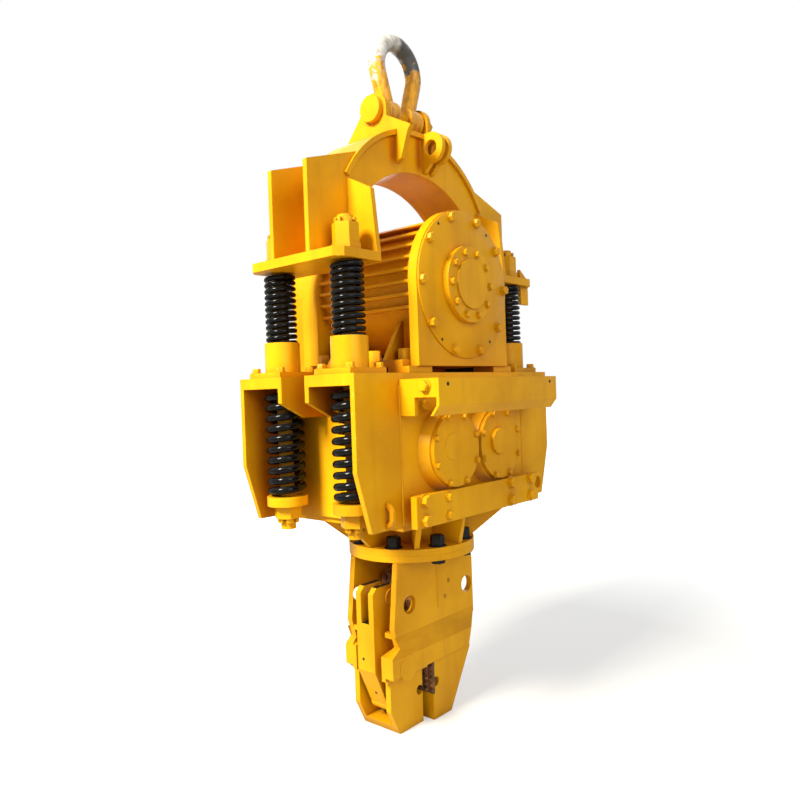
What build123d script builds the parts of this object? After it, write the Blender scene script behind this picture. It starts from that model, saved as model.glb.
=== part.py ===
"""Electric vibratory pile hammer, hung from a crane by its shackle, with a lever clamp below.

Millimetres. Z is up, and the clamp's foot stands on z = 0 below the pile axis. Y runs along the motor shaft.
"""
from build123d import *
import math
import os

os.makedirs("parts", exist_ok=True)

# Clamp heights, from the floor up
foot_top = 32.0
teeth_low = 104.0
slot_top = 248.0
pivot_z = 264.0
jaw_block_high = 330.0
rod_z = 520.0
clamp_top = 667.0
flange_t = 25.0
flange_r = 258.0
flange_bolt_r = 222.0
flange_bolt_hole_r = 22.0
flange_bolts = 8

# Clamp cheeks
cheek_out = 125.0
cheek_t = 25.0
cheek_half_top = 232.0
cheek_right = 246.0
shoulder_z = 597.0
bend_high_z = 368.0
bend_low_z = 338.0
waist_right = 210.0
waist_low_z = 225.0
foot_right = 72.0
throat_x = -262.0
throat_z = 420.0
slot_left = -74.0
slot_right = -42.0
notch_r = 19.0
notch_inset = 17.0
notch_z = 150.0
cheek_hole_r = 35.0
cheek_hole_left = (-169.0, 495.0)
cheek_hole_right = (202.0, 494.0)
doubler_t = 14.0
doubler_low = 240.0
doubler_high = 390.0
doubler_slope = 80.0
doubler_foot = 188.0

# Pivot boss and lever stop on each cheek
pivot_x = -204.0
pivot_r = 48.0
pivot_end = 2.0
boss_t = 20.0
boss_left_front = -292.0
boss_left_back = -264.0
boss_right = -144.0
boss_low = 226.0
boss_high = 320.0
boss_toe = 15.0
boss_neck_x = -240.0
boss_neck_z = 346.0
stop_z = 388.0
stop_t = 20.0
stop_in = 66.0

# Clamp jaws
housing_out = 95.0
housing_wall = 25.0
housing_left = -262.0
housing_toe = -214.0
housing_knee_z = 98.0
jaw_block_x = 40.0
jaw_back = -156.0
jaw_step_x = -130.0
jaw_step_z = 140.0
fixed_rows = 6
moving_rows = 5
fixed_columns = 10
moving_columns = 6
tooth_pitch = 23.0
tooth_depth = 8.0
tooth_seat = 10.0

# Clamp lever, cylinder and rod
lever_half = 45.0
lever_left = -290.0
lever_right = -150.0
lever_top = 568.0
lever_corner = 22.0
lever_heel_z = 354.0
lever_heel_x = -136.0
lever_waist = (-174.0, 184.0)
lever_shin = (-169.0, 140.0)
lever_knee_z = 246.0
fork_half = 20.0
fork_floor = 430.0
tip_x = -192.0
tip_z = 100.0
tip_r = 32.0
eye_x = -192.0
eye_pin_r = 20.0
eye_pin_collar = 10.0
eye_pin_end = 6.0
eye_r = 38.0
eye_half = 17.0
eye_slack = 7.0
eye_play = 1.0
rod_r = 32.0
rod_flat = 12.0
rod_end = -30.0
gland_r = 87.0
gland_face = -96.0
gland_t = 30.0
barrel_r = 74.0
barrel_end = 150.0
barrel_bore_end = 40.0
seat_block_t = 50.0
seat_block_half = 80.0

# Vibrator case and adapter
case_low = 850.0
case_high = 1384.0
case_half_x = 390.0
case_half_y = 303.0
adapter_plate_t = 22.0
adapter_plate_inset = 15.0
adapter_core_r = 120.0
gusset_t = 20.0
gusset_inset = 6.0
gussets = 8
shaft_x = 145.0
shaft_z = 1100.0
shaft_boss_base_r = 160.0
shaft_boss_r = 143.0
shaft_boss_t = 42.0
cover_r = 137.0
cover_t = 17.0

# Spring columns and their brackets, set out from the case's sides
column_x = case_half_x + 110.0
column_y = case_half_y - 123.0
bracket_half_x = column_x + 108.0
bracket_plate_t = 20.0
bracket_band_t = 40.0
bracket_inner_y = column_y - 118.0
bracket_kink_z = 1056.0
bracket_toe_x = column_x + 46.0
gusset_low = 1235.0
gusset_kink_z = 1290.0
hook_x = column_x - 27.0
hook_t = 14.0
hook_reach = 34.0
hook_low = 858.0
hook_high = 946.0
rod_r_column = 28.0
column_hole_r = 36.0
sleeve_out_r = 66.0
sleeve_in_r = 61.5
sleeve_high = 1515.0
sleeve_flange_half = 88.0
sleeve_flange_t = 20.0
seat_low = 1775.0
seat_t = 33.0
upper_mean_r = 50.5
upper_wire = 19.0
upper_turns = 16.5
lower_mean_r = 60.0
lower_wire = 28.0
lower_turns = 10.5
washer_r = 76.0
washer_t = 36.0
washer_top = 941.0
column_low = 816.0
column_high = 1930.0
nut_flats = 92.0
nut_t = 48.0
tall_nut_flats = 84.0
tall_nut_t = 70.0
coil_steps = 10
coil_sides = 4

# Guard plate and bar on the case's front
guard_front = case_half_y + 174.0
guard_lip = case_half_y + 147.0
guard_plate_t = 12.0
guard_low = 1233.0
guard_kink_z = 1268.0
guard_high = 1360.0
guard_half_x = case_half_x
guard_web_y = case_half_y + 68.0
guard_web_t = 18.0
guard_web_z = 1296.0
guard_web_x = 60.0
bar_front = case_half_y + 69.0
bar_t = 26.0
bar_half_x = case_half_x + 8.0
bar_low = 847.0
bar_high = 958.0
bar_block_x = 110.0
bar_block_trim = 5.0
bar_block_left = case_half_x - 100.0
bar_block_right = case_half_x - 90.0
bar_eye_r = 42.0
bar_eye_hole_r = 25.0
bar_eye_rise = 14.0

# Motor and belt guard
motor_z = 1718.0
motor_r = 285.0
motor_base_z = 1408.0
motor_front = case_half_y + 8.0
motor_rear = case_half_y - 48.0
motor_plate_t = 40.0
motor_core_r = 248.0
fin_r = 272.0
fin_t = 12.0
fin_pitch = 46.0
fins = 8
lowest_fin = 92.0
cap_r = 146.0
cap_t = 36.0
cap_disc_r = 95.0
cap_disc_t = 8.0
foot_inner_x = 200.0
foot_outer_x = 330.0
foot_t = 24.0
foot_gusset_t = 18.0
foot_gusset_in = 15.0
foot_gusset_tip = 10.0
foot_gusset_high = 1580.0
foot_gusset_share = 0.3
packing_y = 100.0
packing_inset = 60.0
belt_guard_back = case_half_y + 72.0
belt_guard_low_r = 200.0

# Yoke over the motor, set out from the spring columns
yoke_half_x = column_x + 100.0
yoke_leg_x = column_x - 110.0
seat_half_y = column_y + 62.0
seat_corner = 30.0
tab_x = column_x + 136.0
tab_root_x = column_x + 74.0
tab_t = 16.0
tab_low = 1695.0
tab_high = 1852.0
web_out = 105.0
web_t = 20.0
wing_high = 2124.0
wing_slope = 0.318
wing_join_x = 352.0
crown_r = 469.0
crown_z = 1865.0
rim_t = 20.0
rim_half_y = 118.0
rim_foot_z = 2110.0
soffit_r = yoke_leg_x + 41.0
soffit_z = 1757.0
soffit_t = 20.0
flange_plate_t = 20.0
flange_plate_high = 2096.0
flange_plate_nose_z = 2036.0
flange_plate_nose_y = seat_half_y - 23.0

# Lifting lugs, tie plates and shackle
lug_in = 118.0
lug_t = 22.0
lug_r = 66.0
pin_z = 2440.0
pin_r = 33.0
lug_step_z = 2402.0
lug_shoulder = (-187.0, 2336.0)
lug_elbow = (-171.0, 2313.0)
lug_tip = (-135.0, 2218.0)
lug_tip_rise = 12.0
lug_short_y = 114.0
lug_back_y = 147.0
lug_back_z = 2345.0
lug_leg_low = 2229.0
lug_leg_t = 10.0
tie_left_x = 26.0
tie_right_x = 69.0
tie_t = 20.0
tie_y = -150.0
tie_z = 2294.0
tie_r = 61.0
tie_hole_r = 30.0
tie_low = 2199.0
tie_toe_y = -88.0
bow_bar_r = 34.0
bow_r = 112.0
bow_top = 2779.0
bow_eye_r = 56.0
bow_eye_in = 34.0
bow_eye_out = 107.0
bow_leg_x = 62.0
bow_leg_rise = 20.0
pin_head_r = 52.0
pin_head_t = 24.0
pin_nut_r = 50.0
pin_nut_t = 34.0
pin_tail = 8.0

# Clearances
run_gap = 0.06
seat_gap = 0.3
slide_gap = 0.5

# Worked out from the sizes above
flange_split = clamp_top + flange_t
adapter_low = flange_split + flange_t
cheek_in = cheek_out - cheek_t
boss_in = cheek_in - boss_t
doubler_out = cheek_out + doubler_t
teeth_half = housing_out - housing_wall
tooth_back = slot_right + tooth_seat
seat_high = seat_low + seat_t
web_in = web_out - web_t
band_low = case_high - bracket_band_t
soffit_spring = soffit_z + math.sqrt(soffit_r**2 - yoke_leg_x**2)


def save(piece, name):
    """Labels a finished piece and writes it as one node."""
    piece.part.label = name
    export_step(piece.part, f"parts/{name}.step")


# Clamp flange: the round plate that bolts to the adapter
with BuildPart() as clamp_flange:
    with BuildSketch(Plane.XY.offset(clamp_top)):
        Circle(flange_r)
        with PolarLocations(flange_bolt_r, flange_bolts, 180 / flange_bolts):
            Circle(flange_bolt_hole_r, mode=Mode.SUBTRACT)
    extrude(amount=flange_t)
save(clamp_flange, "clamp_flange")

# Clamp cheeks: thick side plates with a sloped doubler band, pivot boss, lever stop and the fixed jaw's side
for side, boss_left, name in (
        (-1, boss_left_front, "clamp_cheek_front"), (1, boss_left_back, "clamp_cheek_back")):
    away = -side
    inner = Plane.XZ.offset(away * cheek_in)
    with BuildPart() as cheek:
        with BuildSketch(inner):
            with BuildLine():
                Polyline(
                    (-cheek_half_top, clamp_top), (cheek_half_top, clamp_top), (cheek_right, shoulder_z),
                    (cheek_right, bend_high_z), (waist_right, bend_low_z), (waist_right, waist_low_z),
                    (foot_right, 0), (slot_right, 0), (slot_right, teeth_low), (tooth_back, teeth_low),
                    (tooth_back, slot_top), (slot_left, slot_top),
                    (slot_left, boss_low), (boss_left + boss_toe, boss_low), (boss_left, boss_low + boss_toe),
                    (boss_left, boss_high), (boss_neck_x, boss_neck_z), (throat_x, throat_z), close=True)
            make_face()
            with Locations(cheek_hole_left, cheek_hole_right):
                Circle(cheek_hole_r, mode=Mode.SUBTRACT)
            with Locations((slot_right + notch_inset, notch_z)):
                Circle(notch_r, mode=Mode.SUBTRACT)
        extrude(amount=away * cheek_t)
        with BuildSketch(Plane.YZ.offset(boss_left)):
            with BuildLine():
                Polyline(
                    (side * cheek_out, doubler_high), (side * doubler_out, doubler_high - doubler_slope),
                    (side * doubler_out, doubler_low), (side * cheek_out, doubler_low), close=True)
            make_face()
        extrude(amount=cheek_right - boss_left)
        with BuildSketch(Plane.XZ.offset(away * cheek_out)):
            with BuildLine():
                Polyline(
                    (boss_left, boss_high), (boss_left, doubler_high), (throat_x, doubler_high),
                    (boss_neck_x, boss_neck_z), close=True)
            make_face()
            with BuildLine():
                Polyline(
                    (cheek_right, doubler_high), (waist_right, doubler_high - doubler_slope),
                    (doubler_foot, doubler_low), (cheek_right, doubler_low), close=True)
            make_face()
        extrude(amount=away * doubler_t, mode=Mode.SUBTRACT)
        with BuildSketch(Plane.XZ.offset(away * boss_in)):
            with BuildLine():
                Polyline(
                    (boss_left, boss_low), (boss_left, boss_high), (pivot_x, boss_high + boss_toe),
                    (boss_right, boss_high), (boss_right, boss_low), close=True)
            make_face()
        extrude(amount=away * boss_t)
        with BuildSketch(Plane.XZ.offset(away * stop_in)):
            with Locations((throat_x + stop_t, stop_z)):
                Rectangle(stop_t, stop_t)
        extrude(amount=away * (cheek_in - stop_in))
        with BuildSketch(Plane.XZ.offset(away * boss_in)):
            with Locations((pivot_x, pivot_z)):
                Circle(pivot_r + run_gap)
        extrude(amount=away * (doubler_out - boss_in), mode=Mode.SUBTRACT)
    save(cheek, name)

# Fixed jaw: the solid block between the cheeks on the right of the pile slot
teeth_high = teeth_low + fixed_rows * tooth_pitch
with BuildPart() as fixed_jaw:
    with BuildSketch(Plane.XZ.offset(-cheek_in)):
        with BuildLine():
            Polyline(
                (slot_right, 0), (foot_right, 0), (waist_right, waist_low_z), (waist_right, jaw_block_high),
                (jaw_block_x, jaw_block_high), (slot_right, slot_top), close=True)
        make_face()
    extrude(amount=2 * cheek_in)
    with BuildSketch(Plane.XZ.offset(-cheek_in)):
        with Locations((slot_right + tooth_seat / 2, (teeth_low + slot_top) / 2)):
            Rectangle(tooth_seat, slot_top - teeth_low)
    extrude(amount=2 * cheek_in, mode=Mode.SUBTRACT)
save(fixed_jaw, "clamp_fixed_jaw")


def saw(root_x, tip_x, low, rows):
    """Outline points of a column of teeth: root, then tip and root of each row upwards."""
    points = [(root_x, low)]
    for row in range(rows):
        points.append((tip_x, low + tooth_pitch * (row + 0.5)))
        points.append((root_x, low + tooth_pitch * (row + 1)))
    return points


# Fixed teeth: a hardened insert with rows of pointed teeth
with BuildPart() as fixed_teeth:
    with BuildSketch(Plane.XZ.offset(-cheek_out)):
        with BuildLine():
            Polyline(
                (tooth_back, teeth_low), *saw(slot_right, slot_right - tooth_depth, teeth_low, fixed_rows),
                (tooth_back, teeth_high), close=True)
        make_face()
    extrude(amount=2 * cheek_out)
    groove = 2 * cheek_out / fixed_columns
    with BuildSketch(Plane.XY.offset(teeth_low)):
        for column in range(fixed_columns + 1):
            y = -cheek_out + groove * column
            tip = slot_right - tooth_depth
            with BuildLine():
                Polyline((slot_right, y), (tip, y - groove / 2), (tip, y + groove / 2), close=True)
            make_face()
    extrude(amount=teeth_high - teeth_low, mode=Mode.SUBTRACT)
save(fixed_teeth, "clamp_fixed_teeth")

# Jaw housing: the open box between the cheeks that guides the moving jaw
with BuildPart() as housing:
    with BuildSketch(Plane.XZ.offset(-housing_out)):
        with BuildLine():
            Polyline(
                (housing_toe, 0), (slot_left, 0), (slot_left, boss_low), (housing_left, boss_low),
                (housing_left, housing_knee_z), close=True)
        make_face()
        with Locations((slot_left - notch_inset, notch_z - notch_r)):
            Circle(notch_r, mode=Mode.SUBTRACT)
    extrude(amount=2 * housing_out)
    with BuildSketch(Plane.XZ.offset(-teeth_half)):
        with Locations(((housing_left + slot_left) / 2, (foot_top + boss_low) / 2)):
            Rectangle(slot_left - housing_left, boss_low - foot_top)
    extrude(amount=2 * teeth_half, mode=Mode.SUBTRACT)
    with BuildSketch(Plane.XZ.offset(-housing_out)):
        with Locations((pivot_x, pivot_z)):
            Circle(pivot_r + run_gap)
    extrude(amount=2 * housing_out, mode=Mode.SUBTRACT)
save(housing, "clamp_jaw_housing")

# Moving jaw: slides in the housing, with its own rows of teeth towards the slot
jaw_half = teeth_half - slide_gap
jaw_low = foot_top + seat_gap
jaw_root = slot_left - tooth_depth
jaw_high = teeth_low + moving_rows * tooth_pitch
with BuildPart() as moving_jaw:
    with BuildSketch(Plane.XZ.offset(-jaw_half)):
        with BuildLine():
            Polyline(
                (jaw_back, jaw_low), (jaw_root, jaw_low), *saw(jaw_root, slot_left, teeth_low, moving_rows),
                (jaw_step_x, jaw_high), (jaw_step_x, jaw_step_z), (jaw_back, jaw_step_z), close=True)
        make_face()
    extrude(amount=2 * jaw_half)
    groove = 2 * jaw_half / moving_columns
    with BuildSketch(Plane.XY.offset(teeth_low)):
        for column in range(moving_columns + 1):
            y = -jaw_half + groove * column
            with BuildLine():
                Polyline((jaw_root, y), (slot_left, y - groove / 2), (slot_left, y + groove / 2), close=True)
            make_face()
    extrude(amount=jaw_high - teeth_low, mode=Mode.SUBTRACT)
save(moving_jaw, "clamp_moving_jaw")

# Lever: a forked arm on the pivot pin that pushes the moving jaw with its lower tip
with BuildPart() as lever:
    with BuildSketch(Plane.XZ.offset(-lever_half)):
        with BuildLine():
            Polyline(
                (lever_left, lever_top - lever_corner), (lever_left + lever_corner, lever_top),
                (lever_right - lever_corner, lever_top), (lever_right, lever_top - lever_corner),
                (lever_right, lever_heel_z), (lever_heel_x, pivot_z), lever_waist, lever_shin, (tip_x, tip_z),
                (tip_x - tip_r, tip_z), (lever_left, lever_knee_z), close=True)
        make_face()
        with Locations((tip_x, tip_z)):
            Circle(tip_r)
    extrude(amount=2 * lever_half)
    with BuildSketch(Plane.XZ.offset(-fork_half)):
        with Locations(((lever_left + lever_right) / 2, (fork_floor + lever_top) / 2)):
            Rectangle(lever_right - lever_left, lever_top - fork_floor)
    extrude(amount=2 * fork_half, mode=Mode.SUBTRACT)
    with BuildSketch(Plane.XZ.offset(-lever_half)):
        with Locations((pivot_x, pivot_z)):
            Circle(pivot_r + run_gap)
        with Locations((eye_x, rod_z)):
            Circle(eye_pin_r + run_gap)
    extrude(amount=2 * lever_half, mode=Mode.SUBTRACT)
save(lever, "clamp_lever")

# Fork pin: holds the rod's eye in the lever's fork
eye_pin_half = lever_half + seat_gap + eye_pin_end
with BuildPart() as fork_pin:
    with BuildSketch(Plane.XZ.offset(-eye_pin_half)):
        with Locations((eye_x, rod_z)):
            Circle(eye_pin_r)
    extrude(amount=2 * eye_pin_half)
    for end in (-eye_pin_half, lever_half + seat_gap):
        with BuildSketch(Plane.XZ.offset(end)):
            with Locations((eye_x, rod_z)):
                Circle(eye_pin_r + eye_pin_collar)
        extrude(amount=eye_pin_end)
save(fork_pin, "clamp_fork_pin")

# Pivot pin through both cheeks and the lever
pivot_half = doubler_out + pivot_end
with BuildPart() as pivot_pin:
    with BuildSketch(Plane.XZ.offset(-pivot_half)):
        with Locations((pivot_x, pivot_z)):
            Circle(pivot_r)
    extrude(amount=2 * pivot_half)
save(pivot_pin, "clamp_pivot_pin")

# Cylinder: bolted gland, barrel and the block that seats it between the cheeks
with BuildPart() as cylinder:
    with BuildSketch(Plane.YZ.offset(gland_face)):
        with Locations((0, rod_z)):
            Circle(gland_r)
    extrude(amount=gland_t)
    with BuildSketch(Plane.YZ.offset(gland_face)):
        with Locations((0, rod_z)):
            Circle(barrel_r)
    extrude(amount=barrel_end - gland_face)
    with BuildSketch(Plane.YZ.offset(barrel_end)):
        with Locations((0, rod_z)):
            Rectangle(2 * cheek_in, 2 * seat_block_half)
    extrude(amount=seat_block_t)
    with BuildSketch(Plane.YZ.offset(gland_face)):
        with Locations((0, rod_z)):
            Circle(rod_r + run_gap)
    extrude(amount=barrel_bore_end - gland_face, mode=Mode.SUBTRACT)
save(cylinder, "clamp_cylinder")

# Cylinder rod with its eye, slotted so that the lever's arc can pass
with BuildPart() as rod:
    with BuildSketch(Plane.YZ.offset(eye_x)):
        with Locations((0, rod_z)):
            Circle(rod_r)
    extrude(amount=rod_end - eye_x)
    with BuildSketch(Plane.YZ.offset(eye_x)):
        with Locations((-(rod_r + eye_half) / 2, rod_z), ((rod_r + eye_half) / 2, rod_z)):
            Rectangle(rod_r - eye_half, 2 * rod_r)
    extrude(amount=lever_right + rod_flat - eye_x, mode=Mode.SUBTRACT)
    with BuildSketch(Plane.XZ.offset(-eye_half)):
        with Locations((eye_x, rod_z)):
            Circle(eye_r)
    extrude(amount=2 * eye_half)
    with BuildSketch(Plane.XZ.offset(-eye_half)):
        with Locations((eye_x, rod_z)):
            SlotCenterToCenter(2 * eye_slack, 2 * (eye_pin_r + eye_play), rotation=90)
    extrude(amount=2 * eye_half, mode=Mode.SUBTRACT)
save(rod, "clamp_rod")

# Adapter: flange, core and radial gussets under the case
with BuildPart() as adapter:
    with BuildSketch(Plane.XY.offset(flange_split)):
        Circle(flange_r)
        with PolarLocations(flange_bolt_r, flange_bolts, 180 / flange_bolts):
            Circle(flange_bolt_hole_r, mode=Mode.SUBTRACT)
    extrude(amount=flange_t)
    with BuildSketch(Plane.XY.offset(adapter_low)):
        Circle(adapter_core_r)
    extrude(amount=case_low - adapter_low)
    plate_x = case_half_x - adapter_plate_inset
    plate_y = case_half_y - adapter_plate_inset
    with BuildSketch(Plane.XY.offset(case_low - adapter_plate_t)):
        Rectangle(2 * plate_x, 2 * plate_y)
    extrude(amount=adapter_plate_t)
    for i in range(gussets):
        turn = math.radians(i * 360 / gussets)
        along = (math.cos(turn), math.sin(turn), 0)
        across = (along[1], -along[0], 0)
        reach = 1 / max(abs(along[0]) / plate_x, abs(along[1]) / plate_y) - gusset_t / 2
        with BuildSketch(Plane((0, 0, 0), along, across).offset(-gusset_t / 2)):
            with BuildLine():
                Polyline(
                    (0, adapter_low), (flange_r - gusset_inset, adapter_low),
                    (reach, case_low - adapter_plate_t), (0, case_low - adapter_plate_t), close=True)
            make_face()
        extrude(amount=gusset_t)
save(adapter, "adapter")

# Vibrator case with the two shaft bosses on its front
with BuildPart() as case:
    with BuildSketch(Plane.XY.offset(case_low)):
        Rectangle(2 * case_half_x, 2 * case_half_y)
    extrude(amount=case_high - case_low)
    boss_y = -case_half_y - shaft_boss_t / 2
    with Locations((-shaft_x, boss_y, shaft_z), (shaft_x, boss_y, shaft_z)):
        Cone(shaft_boss_base_r, shaft_boss_r, shaft_boss_t, rotation=(90, 0, 0))
save(case, "vibrator_case")

# Shaft covers: bolted lids over the eccentric shafts' bearings
for side, name in ((-1, "shaft_cover_left"), (1, "shaft_cover_right")):
    with BuildPart() as cover:
        with BuildSketch(Plane.XZ.offset(case_half_y + shaft_boss_t)):
            with Locations((side * shaft_x, shaft_z)):
                Circle(cover_r)
        extrude(amount=cover_t)
    save(cover, name)

# Spring brackets: one downward pocket at each corner of the case
for sx, sy, name in (
        (-1, -1, "bracket_front_left"), (1, -1, "bracket_front_right"),
        (-1, 1, "bracket_back_left"), (1, 1, "bracket_back_right")):
    with BuildPart() as bracket:
        with BuildSketch(Plane.XZ.offset(-sy * (case_half_y - bracket_plate_t))):
            with BuildLine():
                Polyline(
                    (sx * case_half_x, case_high), (sx * bracket_half_x, case_high),
                    (sx * bracket_half_x, bracket_kink_z), (sx * bracket_toe_x, case_low),
                    (sx * case_half_x, case_low), close=True)
            make_face()
        extrude(amount=-sy * bracket_plate_t)
        with BuildSketch(Plane.XY.offset(band_low)):
            middle_x = (case_half_x + bracket_half_x) / 2
            middle_y = (bracket_inner_y + case_half_y) / 2
            with Locations((sx * middle_x, sy * middle_y)):
                Rectangle(bracket_half_x - case_half_x, case_half_y - bracket_inner_y)
            with Locations((sx * column_x, sy * column_y)):
                Circle(column_hole_r, mode=Mode.SUBTRACT)
        extrude(amount=bracket_band_t)
        with BuildSketch(Plane.XZ.offset(-sy * bracket_inner_y)):
            with BuildLine():
                Polyline(
                    (sx * case_half_x, case_high), (sx * bracket_half_x, case_high),
                    (sx * bracket_half_x, gusset_kink_z), (sx * column_x, gusset_low),
                    (sx * case_half_x, gusset_low), close=True)
            make_face()
        extrude(amount=-sy * bracket_plate_t)
        if name == "bracket_front_left":
            with BuildSketch(Plane.YZ.offset(-hook_x - hook_t / 2)):
                with BuildLine():
                    face = -case_half_y
                    mouth = face - hook_reach / 2
                    ThreePointArc(
                        (face, hook_high), (face - hook_reach, (hook_low + hook_high) / 2), (face, hook_low))
                    Polyline(
                        (face, hook_low), (face, hook_low + hook_t), (mouth, hook_low + 2 * hook_t),
                        (mouth, hook_high - 2 * hook_t), (face, hook_high - hook_t), (face, hook_high))
                make_face()
            extrude(amount=hook_t)
    save(bracket, name)

# Spring sleeves: flanged cups on the brackets
with BuildPart() as sleeves:
    with BuildSketch(Plane.XY.offset(case_high)):
        with GridLocations(2 * column_x, 2 * column_y, 2, 2):
            Rectangle(2 * sleeve_flange_half, 2 * sleeve_flange_half)
            Circle(sleeve_in_r, mode=Mode.SUBTRACT)
    extrude(amount=sleeve_flange_t)
    with BuildSketch(Plane.XY.offset(case_high)):
        with GridLocations(2 * column_x, 2 * column_y, 2, 2):
            Circle(sleeve_out_r)
            Circle(sleeve_in_r, mode=Mode.SUBTRACT)
    extrude(amount=sleeve_high - case_high)
save(sleeves, "spring_sleeves")


def coil(low, high, mean_r, wire, turns):
    """A spring of straight steps round a helix, ground level with the wire's end at both seats."""
    steps = round(turns * coil_steps)
    points = []
    for i in range(steps + 1):
        angle = 2 * math.pi * i / coil_steps
        z = low + wire / 2 + (high - low - wire) * i / steps
        points.append((mean_r * math.cos(angle), mean_r * math.sin(angle), z))
    with BuildPart() as spring:
        with BuildLine() as path:
            Polyline(*points)
        with BuildSketch(Plane(path.line @ 0, z_dir=path.line % 0)):
            RegularPolygon(wire / 2, coil_sides)
        sweep(transition=Transition.RIGHT)
    return spring.part


# Springs above and below the brackets, four of each
upper_coil = coil(case_high + seat_gap, seat_low - seat_gap, upper_mean_r, upper_wire, upper_turns)
lower_coil = coil(washer_top + seat_gap, band_low - seat_gap, lower_mean_r, lower_wire, lower_turns)
for one, name in ((upper_coil, "upper_springs"), (lower_coil, "lower_springs")):
    with BuildPart() as springs:
        with GridLocations(2 * column_x, 2 * column_y, 2, 2):
            add(one)
    save(springs, name)

# Column rods with the washer and nut below and the nut stack on the yoke's seat
with BuildPart() as columns:
    with BuildSketch(Plane.XY.offset(column_low)):
        with GridLocations(2 * column_x, 2 * column_y, 2, 2):
            Circle(rod_r_column)
    extrude(amount=column_high - column_low)
    with BuildSketch(Plane.XY.offset(washer_top - washer_t)):
        with GridLocations(2 * column_x, 2 * column_y, 2, 2):
            Circle(washer_r)
    extrude(amount=washer_t)
    with BuildSketch(Plane.XY.offset(washer_top - washer_t - nut_t)):
        with GridLocations(2 * column_x, 2 * column_y, 2, 2):
            RegularPolygon(nut_flats / 2, 6, major_radius=False)
    extrude(amount=nut_t)
    with BuildSketch(Plane.XY.offset(seat_high)):
        with GridLocations(2 * column_x, 2 * column_y, 2, 2):
            RegularPolygon(nut_flats / 2, 6, major_radius=False)
    extrude(amount=nut_t / 2)
    with BuildSketch(Plane.XY.offset(seat_high + nut_t / 2)):
        with GridLocations(2 * column_x, 2 * column_y, 2, 2):
            RegularPolygon(tall_nut_flats / 2, 6, major_radius=False)
    extrude(amount=tall_nut_t)
save(columns, "column_rods")

# Front guard: a bent plate over the case's front edge, on two webbed brackets
with BuildPart() as guard:
    with BuildSketch(Plane.YZ.offset(-guard_half_x)):
        with BuildLine():
            Polyline(
                (-guard_front, guard_high), (-guard_front, guard_kink_z), (-guard_lip, guard_low),
                (-guard_lip + guard_plate_t, guard_low), (-guard_front + guard_plate_t, guard_kink_z),
                (-guard_front + guard_plate_t, guard_high), close=True)
        make_face()
    extrude(amount=2 * guard_half_x)
save(guard, "front_guard")

with BuildPart() as guard_brackets:
    for side in (-1, 1):
        with BuildSketch(Plane.YZ.offset(side * guard_half_x)):
            with BuildLine():
                Polyline(
                    (-case_half_y, guard_low), (-guard_web_y, guard_low), (-guard_web_y, guard_web_z),
                    (-guard_front + guard_plate_t, guard_web_z), (-guard_front + guard_plate_t, guard_high),
                    (-case_half_y, guard_high), close=True)
            make_face()
        extrude(amount=-side * guard_web_t)
        with BuildSketch(Plane.XY.offset(guard_web_z)):
            web_x = guard_half_x - guard_web_x / 2
            web_y = (case_half_y + guard_front - guard_plate_t) / 2
            with Locations((side * web_x, -web_y)):
                Rectangle(guard_web_x, guard_front - guard_plate_t - case_half_y)
        extrude(amount=guard_web_t)
save(guard_brackets, "front_guard_brackets")

# Lower bar on two blocks, with a lifting eye at its right end
with BuildPart() as bar:
    with BuildSketch(Plane.XZ.offset(bar_front - bar_t)):
        with Locations((0, (bar_low + bar_high) / 2)):
            Rectangle(2 * bar_half_x, bar_high - bar_low)
        with Locations((bar_half_x, (bar_low + bar_high) / 2 + bar_eye_rise)):
            Circle(bar_eye_r)
            Circle(bar_eye_hole_r, mode=Mode.SUBTRACT)
    extrude(amount=bar_t)
    with BuildSketch(Plane.XZ.offset(case_half_y)):
        with Locations(
                (-bar_block_left, (bar_low + bar_high) / 2), (bar_block_right, (bar_low + bar_high) / 2)):
            Rectangle(bar_block_x, bar_high - bar_low - 2 * bar_block_trim)
    extrude(amount=bar_front - bar_t - case_half_y)
save(bar, "lower_bar")

# Motor: finned frame between two end plates, cap, feet
with BuildPart() as motor:
    with BuildSketch(Plane.XZ.offset(motor_front - motor_plate_t)):
        for fin in range(fins):
            with Locations((0, motor_z - lowest_fin + fin * fin_pitch)):
                Rectangle(2 * fin_r, fin_t)
        with Locations((0, motor_z)):
            Circle(fin_r, mode=Mode.INTERSECT)
            Circle(motor_core_r)
    extrude(amount=-(motor_front + motor_rear - 2 * motor_plate_t))
save(motor, "motor_frame")

for front, name in ((motor_front, "motor_front_plate"), (-motor_rear + motor_plate_t, "motor_rear_plate")):
    with BuildPart() as plate:
        with BuildSketch(Plane.XZ.offset(front)):
            with Locations((0, motor_z)):
                Circle(motor_r)
            with Locations((0, (motor_base_z + motor_z) / 2)):
                Rectangle(2 * motor_r, motor_z - motor_base_z)
        extrude(amount=-motor_plate_t)
    save(plate, name)

with BuildPart() as cap:
    with BuildSketch(Plane.XZ.offset(motor_front)):
        with Locations((0, motor_z)):
            Circle(cap_r)
    extrude(amount=cap_t)
    with BuildSketch(Plane.XZ.offset(motor_front + cap_t)):
        with Locations((0, motor_z)):
            Circle(cap_disc_r)
    extrude(amount=cap_disc_t)
save(cap, "motor_cap")

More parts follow.
